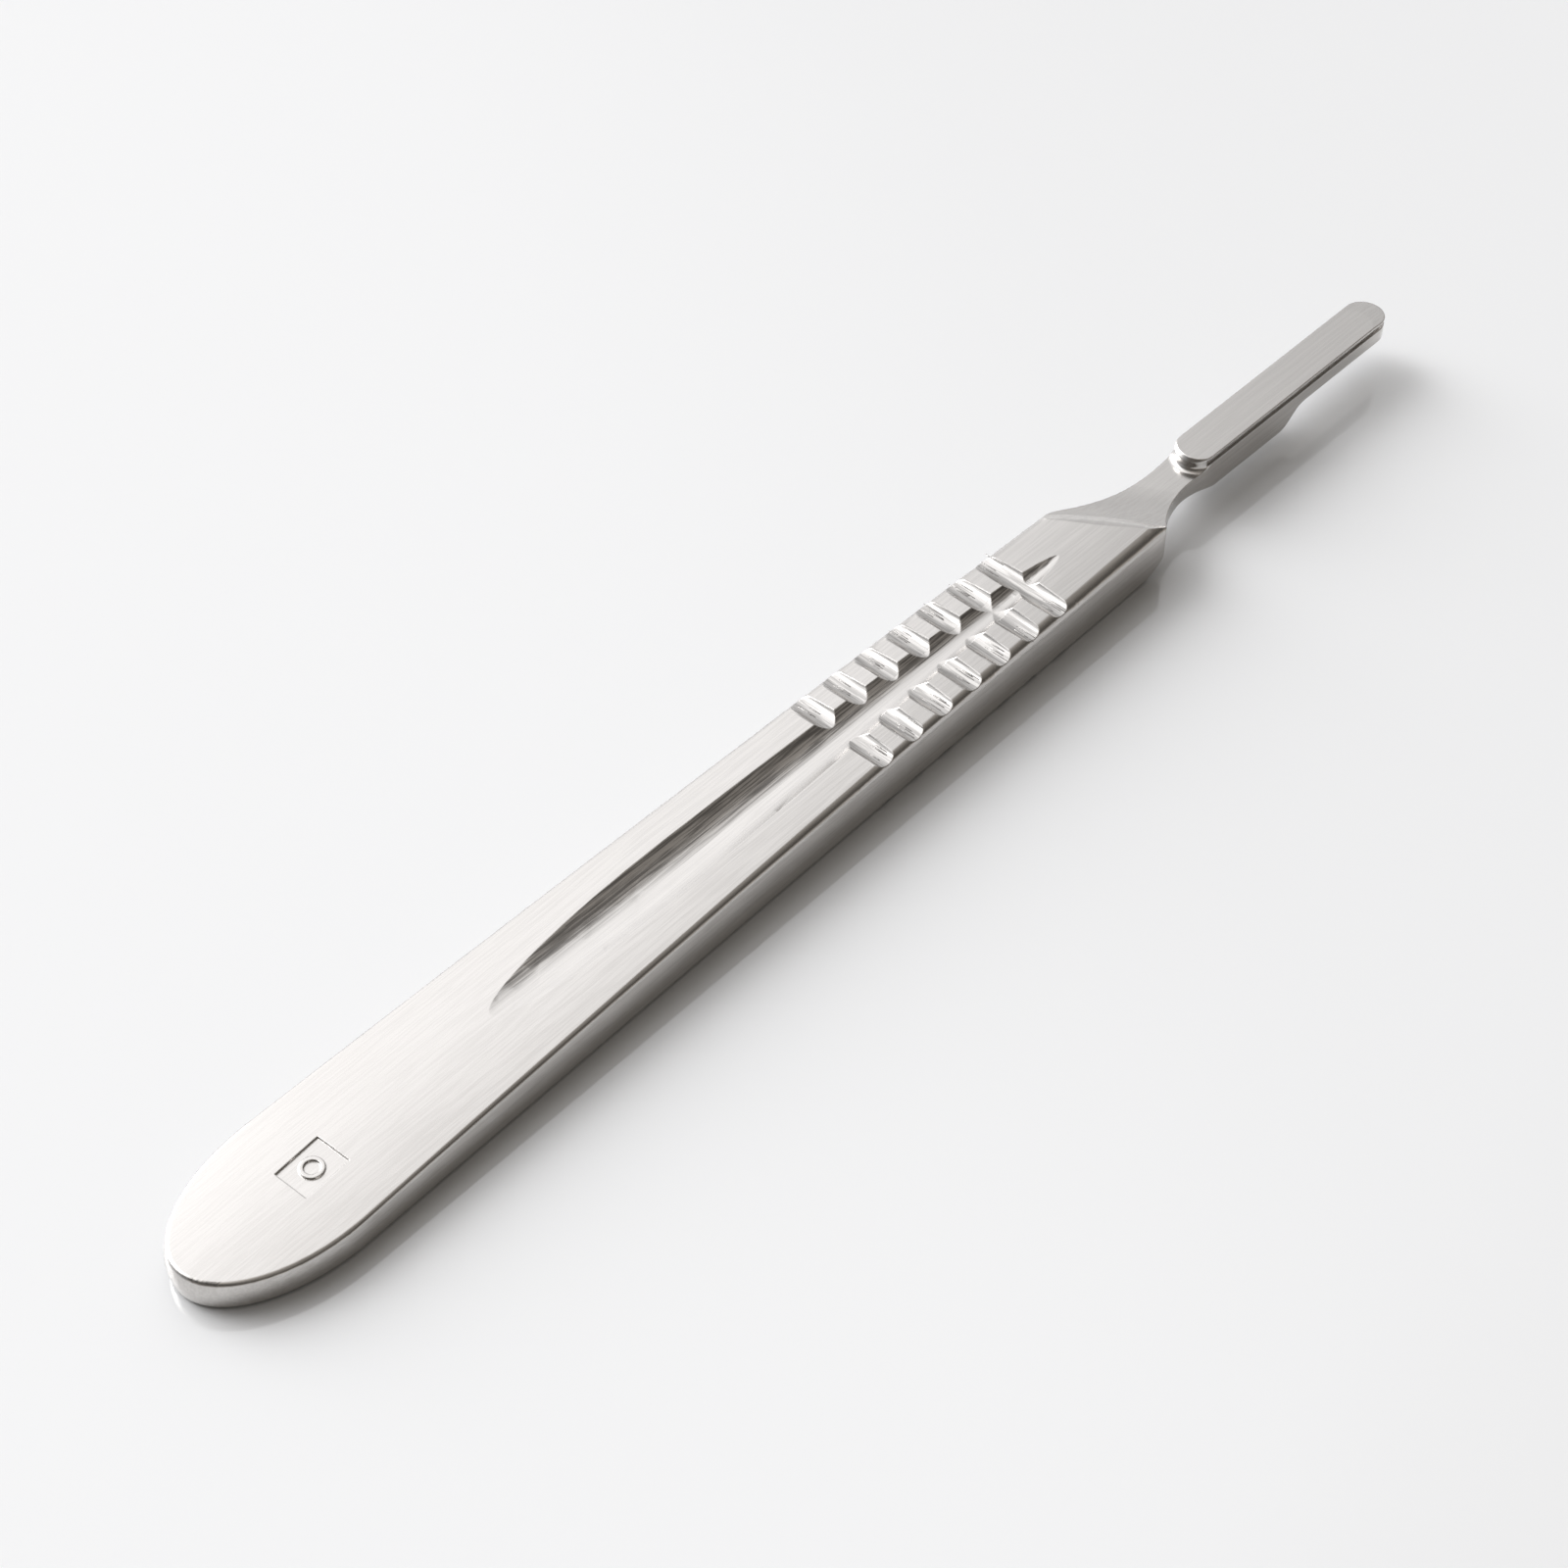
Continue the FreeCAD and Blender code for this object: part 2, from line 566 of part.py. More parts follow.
def under_channel_cutter():
    """The same spindle turned over for the underside, which has no crown."""
    top = channel_cutter()
    chord = face_height(CHANNEL_FRONT_X) - face_height(CHANNEL_TAIL_X)
    lean = math.degrees(math.atan(chord / (CHANNEL_FRONT_X - CHANNEL_TAIL_X)))
    pivot = vec(CHANNEL_TAIL_X, 0, face_height(CHANNEL_TAIL_X))
    top.rotate(pivot, vec(0, 1, 0), lean)
    top.translate(vec(0, 0, -pivot.z - UNDER_CHANNEL_RISE))
    return top.mirror(vec(0, 0, 0), vec(0, 0, 1))


def grip_solid():
    """Barrel-sided, crowned grip with rounded edges, before its cuts."""
    body = barrel_solid().common(side_view_solid()).common(crown_solid())

    def at_bottom(edge):
        box = edge.BoundBox
        return box.ZMax < FLAT_MARGIN and box.XLength > SHORT_EDGE

    def at_top(edge):
        mid = edge.valueAt((edge.FirstParameter + edge.LastParameter) / 2)
        box = edge.BoundBox
        along_side = (mid.z > rim_height(mid.x) - RIM_MARGIN and box.XLength > SHORT_EDGE
                      and abs(mid.y) > SHORT_EDGE)
        round_tail = mid.z > HEIGHT_TAIL / 2 and mid.x < SIDE_BULGE
        return along_side or round_tail

    body = round_edges(body, BOTTOM_EDGE, at_bottom)
    return round_upper_edges(body, at_top)


def fitting_solid():
    """Tongue with its raised boss, the blade slot under the boss rim and the tip bevel."""
    fitting = tongue_solid().cut(boss_clearance())

    def at_boss_rim(edge):
        box = edge.BoundBox
        return box.ZMin > BOSS_TOP_Z - BOSS_EDGE and box.XLength > BOSS_EDGE

    fitting = round_edges(fitting, BOSS_EDGE, at_boss_rim)
    return fitting.cut(slot_cutter()).cut(end_bevel_cutters())


def handle():
    body = grip_solid()
    body = body.cut(flank_cutters())
    body = body.cut(neck_cutter())
    body = body.cut(grip_cutters())
    body = body.cut(channel_cutter())
    body = body.cut(under_channel_cutter())
    whole = body.fuse(fitting_solid())
    whole = whole.cut(stamp_cutter())
    whole = whole.removeSplitter()
    whole.translate(vec(-LENGTH / 2, 0, 0))
    return whole


shape = handle()
shape.exportStep("parts/scalpel_handle.step")
print("solids", len(shape.Solids), "valid", shape.isValid(), "volume", round(shape.Volume, 1),
      "mass g", round(shape.Volume * STEEL_DENSITY, 1))
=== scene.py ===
"""Looks of a forged steel scalpel handle that lies flat on a glossy white tabletop."""
import logging
import math
from dataclasses import dataclass
from enum import Enum
from typing import Any

import bpy
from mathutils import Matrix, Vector


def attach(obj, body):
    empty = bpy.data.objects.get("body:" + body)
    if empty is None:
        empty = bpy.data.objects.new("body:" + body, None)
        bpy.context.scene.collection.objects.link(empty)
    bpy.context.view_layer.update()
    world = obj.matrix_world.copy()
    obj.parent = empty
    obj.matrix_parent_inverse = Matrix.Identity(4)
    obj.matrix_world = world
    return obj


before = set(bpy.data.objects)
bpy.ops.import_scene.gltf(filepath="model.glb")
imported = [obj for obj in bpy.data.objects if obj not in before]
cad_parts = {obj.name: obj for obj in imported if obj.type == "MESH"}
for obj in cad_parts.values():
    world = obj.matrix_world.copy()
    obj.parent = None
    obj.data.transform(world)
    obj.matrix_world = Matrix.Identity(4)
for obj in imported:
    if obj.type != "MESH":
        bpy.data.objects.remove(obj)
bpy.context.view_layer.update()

LOG = logging.getLogger("scalpel_handle")
MM = 0.001

Socket = bpy.types.NodeSocket
Tree = bpy.types.NodeTree
Stops = tuple[tuple[float, float], ...]


class Slot(Enum):
    """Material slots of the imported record."""

    STEEL = "handle_steel"


class Kind(Enum):
    """Node types that the finishes, the studio and the milling marks are made of."""

    COORDINATES = "ShaderNodeTexCoord"
    SKIN = "ShaderNodeNewGeometry"
    LIGHT_PATH = "ShaderNodeLightPath"
    MATH = "ShaderNodeMath"
    VECTOR = "ShaderNodeVectorMath"
    SPLIT = "ShaderNodeSeparateXYZ"
    JOIN = "ShaderNodeCombineXYZ"
    MIX = "ShaderNodeMix"
    RANGE = "ShaderNodeMapRange"
    RAMP = "ShaderNodeValToRGB"
    NOISE = "ShaderNodeTexNoise"
    BEVEL = "ShaderNodeBevel"
    BUMP = "ShaderNodeBump"
    SHADER = "ShaderNodeBsdfPrincipled"
    MATERIAL_OUT = "ShaderNodeOutputMaterial"
    BACKGROUND = "ShaderNodeBackground"
    WORLD_OUT = "ShaderNodeOutputWorld"
    GROUP_IN = "NodeGroupInput"
    GROUP_OUT = "NodeGroupOutput"
    CHANCE = "FunctionNodeRandomValue"
    ALIGN = "FunctionNodeAlignRotationToVector"
    LINE = "GeometryNodeMeshLine"
    BALL = "GeometryNodeMeshUVSphere"
    INDEX = "GeometryNodeInputIndex"
    POSITION = "GeometryNodeInputPosition"
    SET_POSITION = "GeometryNodeSetPosition"
    OBJECT = "GeometryNodeObjectInfo"
    RAYCAST = "GeometryNodeRaycast"
    TRANSFORM = "GeometryNodeTransform"
    INSTANCES = "GeometryNodeInstanceOnPoints"
    REALIZE = "GeometryNodeRealizeInstances"
    SET_MATERIAL = "GeometryNodeSetMaterial"


def linear(hex_colour: str) -> tuple[float, float, float, float]:
    """Turns an sRGB hex colour into a linear one.

    Args:
        hex_colour: six hex digits after a hash sign.

    Returns:
        Linear red, green, blue and an alpha of one.
    """
    channels = [int(hex_colour[i:i + 2], 16) / 255 for i in (1, 3, 5)]
    light = [c / 12.92 if c <= 0.04045 else ((c + 0.055) / 1.055) ** 2.4 for c in channels]
    return (*light, 1.0)


def add_node(tree: Tree, kind: Kind, inputs: dict[Any, Any] | None = None,
             **settings: Any) -> bpy.types.Node:
    """Adds a node with its settings and links.

    Args:
        tree: tree that takes the node.
        kind: the node's type.
        inputs: sockets to link and values to set, by the input's name or number.
        settings: properties of the node itself.

    Returns:
        The new node.
    """
    node = tree.nodes.new(kind.value)
    for name, value in settings.items():
        setattr(node, name, value)
    for key, value in (inputs or {}).items():
        if isinstance(value, Socket):
            tree.links.new(value, node.inputs[key])
        else:
            node.inputs[key].default_value = value
    return node


def outlet(tree: Tree, kind: Kind, inputs: dict[Any, Any] | None = None, **settings: Any) -> Socket:
    """Adds a node as add_node does and gives its first output.

    Args:
        tree: tree that takes the node.
        kind: the node's type.
        inputs: sockets to link and values to set, by the input's name or number.
        settings: properties of the node itself.

    Returns:
        The first output, which feeds the next node.
    """
    return add_node(tree, kind, inputs, **settings).outputs[0]


def direction(azimuth: float, elevation: float) -> Vector:
    """Gives the unit vector that points to a place in the studio.

    Args:
        azimuth: degrees from +X towards +Y.
        elevation: degrees above the tabletop.

    Returns:
        The vector, from the handle outwards.
    """
    turn, rise = math.radians(azimuth), math.radians(elevation)
    return Vector((math.cos(turn) * math.cos(rise), math.sin(turn) * math.cos(rise), math.sin(rise)))


@dataclass(frozen=True)
class Streaks:
    """Noise cells with a size along X, Y and Z in millimetres, which read as tool marks."""

    size: tuple[float, float, float]
    detail: float
    softness: float = 0.6

    def build(self, tree: Tree, point: Socket) -> Socket:
        """Makes the noise.

        Args:
            tree: the material's tree.
            point: place on the handle in millimetres.

        Returns:
            A value from zero to one.
        """
        scaled = outlet(tree, Kind.VECTOR, {0: point, 1: self.size}, operation="DIVIDE")
        return outlet(tree, Kind.NOISE, {"Vector": scaled, "Scale": 1.0, "Detail": self.detail,
                                         "Roughness": self.softness})


@dataclass(frozen=True)
class Zones:
    """Where each way of finishing the steel lies, as values from zero to one."""

    scoop: Socket
    side: Socket
    hollow: Socket


@dataclass(frozen=True)
class GroundSteel:
    """Stainless steel, forged, then ground lengthwise on a belt, with milled scoops.

    Its sizes are millimetres in the handle's own frame, which starts at mid length.
    """

    # Forged stainless steel is a warm light grey. The belt's long lines spread a highlight
    # across the face, which reads as satin, and the cutter's lines spread it lengthwise, so
    # each scoop flashes on its own.
    colour: str = "#dcd9d6"
    # Colour of the lines, also used for the painted shade in the channel and the scoops.
    line_and_shade_colour: str = "#33312f"
    # Painted shade: the steel's colour is painted dimmer for the light it throws back onto the tabletop, or a
    # bright rim would lie round it.
    painted_bounce_shade_colour: str = "#6a6864"

    face_roughness: float = 0.23
    scoop_roughness: float = 0.18
    side_roughness: float = 0.19
    unevenness: float = 0.22
    anisotropy: float = 0.55

    # Lines of a belt or a cutter on such steel are taken to be under 0.1 mm wide, too fine to
    # show in the render, so they are drawn 0.12 to 0.28 mm wide.
    coarse: Streaks = Streaks((12.0, 0.24, 0.24), 3.0)
    fine: Streaks = Streaks((5.0, 0.12, 0.12), 2.0)
    fine_share: float = 0.4
    milled: Streaks = Streaks((0.28, 4.0, 0.28), 2.0)
    waves: Streaks = Streaks((9.0, 9.0, 9.0), 1.0)

    # How much darker a line is than the steel beside it. The channel's wall, which a narrow wheel cut, and the
    # scoops have their lines drawn far darker than the faces: partly tool lines, partly painted shade and
    # painted reflection streaks of these recesses.
    line_range: tuple[float, float] = (0.43, 0.57)
    face_tone: float = 0.05
    side_tone: float = 0.12
    hollow_line_and_shade_tone: float = 0.65
    scoop_line_and_shade_tone: float = 0.34

    line_height: float = 0.0012
    hollow_gain: float = 9.0
    wave_height: float = 0.010
    edge_wear: float = 0.15
    wear_samples: int = 6

    side_level: float = 0.75
    channel_half: float = 2.75
    channel_floor_half: float = 1.0
    channel_front: float = 31.0
    channel_lean: tuple[float, float] = (-0.05, -0.20)
    first_scoop: float = -0.72
    scoop_pitch: float = 3.58
    scoop_count: int = 7
    scoop_half: float = 1.14
    scoop_lean: float = 0.12

    def zones(self, tree: Tree, point: Socket, normal: Socket) -> Zones:
        """Finds the scoops, the side walls and the channel by place and slope.

        Args:
            tree: the material's tree.
            point: place on the handle in millimetres.
            normal: the skin's outward direction there.

        Returns:
            The three zones. The faces are what they leave.
        """
        x, y, _ = add_node(tree, Kind.SPLIT, {0: point}).outputs
        _, lean, level = add_node(tree, Kind.SPLIT, {0: normal}).outputs
        across = outlet(tree, Kind.MATH, {0: y}, operation="ABSOLUTE")
        tilt = outlet(tree, Kind.MATH, {0: lean}, operation="ABSOLUTE")
        flatness = outlet(tree, Kind.MATH, {0: level}, operation="ABSOLUTE")
        side = outlet(tree, Kind.MATH, {0: flatness, 1: self.side_level}, operation="LESS_THAN")

        last = self.scoop_count - 1.0
        shift = outlet(tree, Kind.MATH, {0: x, 1: self.first_scoop}, operation="SUBTRACT")
        number = outlet(tree, Kind.MATH, {0: shift, 1: self.scoop_pitch}, operation="DIVIDE")
        number = outlet(tree, Kind.MATH, {0: number}, operation="ROUND")
        number = outlet(tree, Kind.MATH, {0: number, 1: last}, operation="MINIMUM")
        number = outlet(tree, Kind.MATH, {0: number, 1: 0.0}, operation="MAXIMUM")
        middle = outlet(tree, Kind.MATH, {0: number, 1: self.scoop_pitch}, operation="MULTIPLY")
        away = outlet(tree, Kind.MATH, {0: shift, 1: middle}, operation="SUBTRACT")
        away = outlet(tree, Kind.MATH, {0: away}, operation="ABSOLUTE")
        scoop = outlet(tree, Kind.MATH, {0: away, 1: self.scoop_half}, operation="LESS_THAN")
        upright = outlet(tree, Kind.MATH, {0: tilt, 1: self.scoop_lean}, operation="LESS_THAN")
        # Only the last scoop runs across the channel's floor.
        beside = outlet(tree, Kind.MATH, {0: across, 1: self.channel_floor_half}, operation="GREATER_THAN")
        at_last = outlet(tree, Kind.MATH, {0: number, 1: last - 0.5}, operation="GREATER_THAN")
        beside = outlet(tree, Kind.MATH, {0: beside, 1: at_last}, operation="MAXIMUM")
        for limit in (upright, beside):
            scoop = outlet(tree, Kind.MATH, {0: scoop, 1: limit}, operation="MULTIPLY")

        start, full = self.channel_lean
        hollow = outlet(tree, Kind.RANGE, {0: lean, 1: start, 2: full})
        inner = outlet(tree, Kind.MATH, {0: across, 1: self.channel_half}, operation="LESS_THAN")
        behind = outlet(tree, Kind.MATH, {0: x, 1: self.channel_front}, operation="LESS_THAN")
        for limit in (inner, behind):
            hollow = outlet(tree, Kind.MATH, {0: hollow, 1: limit}, operation="MULTIPLY")
        hollow = outlet(tree, Kind.MATH, {0: hollow, 1: scoop}, operation="MAXIMUM")
        return Zones(scoop, side, hollow)

    def marks(self, tree: Tree, point: Socket, zones: Zones) -> Socket:
        """Lays the belt's lines along the handle and the cutter's across the scoops.

        Args:
            tree: the material's tree.
            point: place on the handle in millimetres.
            zones: where the scoops are.

        Returns:
            The marks' height, from zero to one.
        """
        coarse, fine, milled = (streaks.build(tree, point) for streaks in (self.coarse, self.fine, self.milled))
        ground = outlet(tree, Kind.MIX, {0: self.fine_share, 2: coarse, 3: fine})
        return outlet(tree, Kind.MIX, {0: zones.scoop, 2: ground, 3: milled})

    def bumps(self, tree: Tree, point: Socket, marks: Socket, zones: Zones) -> Socket:
        """Bends the light by the marks, by faint waves of the grinding and by worn edges.

        Args:
            tree: the material's tree.
            point: place on the handle in millimetres.
            marks: the marks' height, from zero to one.
            zones: where the marks are deeper.

        Returns:
            The bent normal.
        """
        low = self.line_height * MM
        height = outlet(tree, Kind.MIX, {0: zones.hollow, 2: low, 3: self.hollow_gain * low})
        lines = outlet(tree, Kind.MATH, {0: marks, 1: height}, operation="MULTIPLY")
        waves = self.waves.build(tree, point)
        waves = outlet(tree, Kind.MATH, {0: waves, 1: self.wave_height * MM}, operation="MULTIPLY")
        relief = outlet(tree, Kind.MATH, {0: lines, 1: waves}, operation="ADD")
        worn = outlet(tree, Kind.BEVEL, {"Radius": self.edge_wear * MM}, samples=self.wear_samples)
        return outlet(tree, Kind.BUMP, {"Height": relief, "Distance": 1.0, "Strength": 1.0, "Normal": worn})

    def sheen(self, tree: Tree, marks: Socket, zones: Zones) -> Socket:
        """Makes the lines' crests glossier than the steel between them, zone by zone.

        Args:
            tree: the material's tree.
            marks: the marks' height, from zero to one.
            zones: where the roughness changes.

        Returns:
            The roughness.
        """
        base = outlet(tree, Kind.MIX, {0: zones.scoop, 2: self.face_roughness, 3: self.scoop_roughness})
        base = outlet(tree, Kind.MIX, {0: zones.side, 2: base, 3: self.side_roughness})
        uneven = outlet(tree, Kind.MATH, {0: marks, 1: 0.5}, operation="SUBTRACT")
        uneven = outlet(tree, Kind.MATH, {0: uneven, 1: self.unevenness}, operation="MULTIPLY")
        return outlet(tree, Kind.MATH, {0: base, 1: uneven}, operation="ADD")

    def tone(self, tree: Tree, marks: Socket, zones: Zones) -> Socket:
        """Darkens the steel along its lines: on the faces and side walls with the lines' own tone, in the
        channel and the scoops far darker, as painted shade.

        Args:
            tree: the material's tree.
            marks: the marks' height, from zero to one.
            zones: where the lines are darker.

        Returns:
            The colour.
        """
        # Painted shade: in the channel and the scoops the lines are drawn far darker, standing in for the dark
        # streaky reflections of these recesses.
        darkening = outlet(tree, Kind.MIX, {0: zones.hollow, 2: self.face_tone, 3: self.hollow_line_and_shade_tone})
        darkening = outlet(tree, Kind.MIX, {0: zones.side, 2: darkening, 3: self.side_tone})
        darkening = outlet(tree, Kind.MIX, {0: zones.scoop, 2: darkening, 3: self.scoop_line_and_shade_tone})
        start, full = self.line_range
        lines = outlet(tree, Kind.RANGE, {0: marks, 1: start, 2: full})
        share = outlet(tree, Kind.MATH, {0: darkening, 1: lines}, operation="MULTIPLY")
        lined_and_shaded = add_node(tree, Kind.MIX, {0: share, 6: linear(self.colour), 7: linear(self.line_and_shade_colour)},
                         data_type="RGBA").outputs[2]
        # Painted shade: light that bounces off the steel takes a darker colour, so the tabletop round the
        # handle stays darker.
        bounced = add_node(tree, Kind.LIGHT_PATH).outputs["Is Diffuse Ray"]
        return add_node(tree, Kind.MIX, {0: bounced, 6: lined_and_shaded, 7: linear(self.painted_bounce_shade_colour)},
                        data_type="RGBA").outputs[2]

    def build(self) -> bpy.types.Material:
        """Makes the material.

        Returns:
            A metal whose marks run along the faces and across the scoops, so that each
            scoop catches the light on its own and the faces keep a soft lengthwise sheen.
        """
        material = bpy.data.materials.new("stainless_steel_ground_lengthwise")
        material.use_nodes = True
        tree = material.node_tree
        tree.nodes.clear()
        place = add_node(tree, Kind.COORDINATES).outputs["Object"]
        point = outlet(tree, Kind.VECTOR, {0: place, "Scale": 1.0 / MM}, operation="SCALE")
        zones = self.zones(tree, point, add_node(tree, Kind.SKIN).outputs["Normal"])
        marks = self.marks(tree, point, zones)
        # The gloss is drawn out across the lines: along X in the scoops and along Y on the faces.
        # The side walls face Y, where that direction has no meaning, so they take X as well.
        crosswise = outlet(tree, Kind.MATH, {0: zones.scoop, 1: zones.side}, operation="MAXIMUM")
        lengthwise = outlet(tree, Kind.MATH, {0: 1.0, 1: crosswise}, operation="SUBTRACT")
        along = outlet(tree, Kind.JOIN, {0: crosswise, 1: lengthwise, 2: 0.0})
        shader = outlet(tree, Kind.SHADER,
                        {"Base Color": self.tone(tree, marks, zones), "Metallic": 1.0,
                         "Roughness": self.sheen(tree, marks, zones), "Anisotropic": self.anisotropy,
                         "Tangent": along, "Normal": self.bumps(tree, point, marks, zones)})
        add_node(tree, Kind.MATERIAL_OUT, {"Surface": shader})
        return material


@dataclass(frozen=True)
class LacqueredBoard:
    """White lacquered board: a bright plain colour under a smooth clear gloss."""

    # The lacquer was sprayed and polished, so a faint image of the handle's side lies in it.
    colour: str = "#f8f9fa"
    roughness: float = 0.04
    index: float = 1.8

    def build(self) -> bpy.types.Material:
        """Makes the material.

        Returns:
            A white dielectric with a clear reflection.
        """
        material = bpy.data.materials.new("white_board_lacquered")
        material.use_nodes = True
        tree = material.node_tree
        tree.nodes.clear()
        shader = outlet(tree, Kind.SHADER, {"Base Color": linear(self.colour), "Roughness": self.roughness,
                                            "IOR": self.index})
        add_node(tree, Kind.MATERIAL_OUT, {"Surface": shader})
        return material


@dataclass
class Tabletop:
    """The plain surface that the handle lies on, which isn't part of it, in metres."""

    # The gap keeps the surface from coinciding with the handle's flat underside.
    half: float = 4.0
    gap: float = 0.00001

    def build(self) -> bpy.types.Object:
        """Makes the tabletop's mesh and material.

        Returns:
            The staged floor object.
        """
        mesh = bpy.data.meshes.new("tabletop")
        corners = ((-1, -1), (1, -1), (1, 1), (-1, 1))
        mesh.from_pydata([(x * self.half, y * self.half, -self.gap) for x, y in corners], [], [(0, 1, 2, 3)])
        mesh.materials.append(LacqueredBoard().build())
        floor = bpy.data.objects.new("tabletop", mesh)
        bpy.context.scene.collection.objects.link(floor)
        return floor


@dataclass
class Studio:
    """The soft studio round the tabletop.

    A glow falls off smoothly from behind the tail, a soft panel hangs behind the
    handle, the near side, the tail side and the ceiling are shaded, and a paler
    band lies along the horizon. Places are azimuth and elevation in degrees. Each
    row of stops pairs a cosine or a coordinate, from minus one to one, with an amount.
    """

    glow_place: tuple[float, float] = (123.0, 38.0)
    panel_place: tuple[float, float] = (108.0, 27.0)
    peak: float = 7.0
    colour: str = "#fefeff"
    near_colour: str = "#fff3e4"
    glow: Stops = (
        (-1.0, 0.05), (-0.3, 0.12), (0.0, 0.44), (0.222, 0.66), (0.307, 0.59), (0.385, 0.66), (0.44, 0.76),
        (0.49, 0.94), (0.55, 1.13), (0.61, 1.22), (0.72, 1.30), (0.83, 1.38), (0.91, 1.70), (1.0, 4.60))
    panel: Stops = ((0.84, 0.0), (0.95, 5.2))
    near_shade: Stops = ((-0.3, 0.30), (0.0, 0.42), (0.15, 0.55), (0.26, 1.0))
    tail_shade: Stops = ((-0.55, 0.12), (-0.20, 1.0))
    ceiling_shade: Stops = ((0.83, 1.0), (0.90, 0.90), (1.0, 0.90))
    horizon: Stops = ((0.0, 0.50), (0.06, 0.36), (0.15, 0.15), (0.3, 0.07), (1.0, 0.06))

    def graded(self, tree: Tree, value: Socket, stops: Stops, top: float = 1.0) -> Socket:
        """Grades the light by a value that runs from minus one to one.

        Args:
            tree: the world's tree.
            value: where the light is looked up.
            stops: pairs of place and amount.
            top: the amount that the ramp's white stands for.

        Returns:
            The amount, as a share of the top one.
        """
        place = outlet(tree, Kind.MATH, {0: value, 1: 0.5, 2: 0.5}, operation="MULTIPLY_ADD")
        ramp = add_node(tree, Kind.RAMP, {0: place})
        marks = ramp.color_ramp.elements
        while len(marks) < len(stops):
            marks.new(0.5)
        for mark, (where, amount) in zip(marks, stops):
            mark.position = 0.5 * where + 0.5
            mark.color = (*[amount / top] * 3, 1.0)
        return ramp.outputs[0]

    def lamp(self, tree: Tree, towards: Socket, place: tuple[float, float], stops: Stops) -> Socket:
        """Makes a soft light that fades with the angle from its middle.

        Args:
            tree: the world's tree.
            towards: the direction that is looked up.
            place: azimuth and elevation of the middle, in degrees.
            stops: pairs of the angle's cosine and the amount of light.

        Returns:
            The light, as a share of the peak.
        """
        cosine = add_node(tree, Kind.VECTOR, {0: towards, 1: direction(*place)}, operation="DOT_PRODUCT")
        return self.graded(tree, cosine.outputs["Value"], stops, self.peak)

    def build(self) -> None:
        """Makes the surroundings, which are the only light."""
        world = bpy.data.worlds.new("studio")
        world.use_nodes = True
        tree = world.node_tree
        tree.nodes.clear()
        towards = add_node(tree, Kind.COORDINATES).outputs["Generated"]
        x, y, z = add_node(tree, Kind.SPLIT, {0: towards}).outputs
        near = self.graded(tree, y, self.near_shade)
        shades = (self.graded(tree, x, self.tail_shade), self.graded(tree, z, self.ceiling_shade), near)
        glow = self.lamp(tree, towards, self.glow_place, self.glow)
        panel = self.lamp(tree, towards, self.panel_place, self.panel)
        total = outlet(tree, Kind.VECTOR, {0: glow, 1: panel}, operation="ADD")
        for shade in shades:
            total = outlet(tree, Kind.VECTOR, {0: total, 1: shade}, operation="MULTIPLY")
        band = self.graded(tree, z, self.horizon, self.peak)
        total = outlet(tree, Kind.VECTOR, {0: total, 1: band}, operation="ADD")
        tint = add_node(tree, Kind.MIX, {0: near, 6: linear(self.near_colour), 7: linear(self.colour)},
                        data_type="RGBA").outputs[2]
        tinted = outlet(tree, Kind.VECTOR, {0: total, 1: tint}, operation="MULTIPLY")
        light = outlet(tree, Kind.BACKGROUND, {"Color": tinted, "Strength": self.peak})
        add_node(tree, Kind.WORLD_OUT, {"Surface": light})
        bpy.context.scene.world = world


@dataclass
class PhotoCamera:
    """The camera, at the photograph's place, turn and lens, in metres, radians and lens millimetres."""

    place: tuple[float, float, float] = (-0.144328, -0.125819, 0.205694)
    turn: tuple[float, float, float] = (0.744496, -0.003992, -0.823708)
    lens: float = 82.23
    film: float = 36.0
    nearest: float = 0.01
    farthest: float = 50.0

    def build(self) -> bpy.types.Object:
        """Makes the camera and shows the scene through it.

        Returns:
            The camera object.
        """
        data = bpy.data.cameras.new("photo_camera")
        data.lens, data.sensor_width = self.lens, self.film
        data.clip_start, data.clip_end = self.nearest, self.farthest
        camera = bpy.data.objects.new("photo_camera", data)
        camera.location = self.place
        camera.rotation_euler = self.turn
        bpy.context.scene.collection.objects.link(camera)
        bpy.context.scene.camera = camera
        return camera


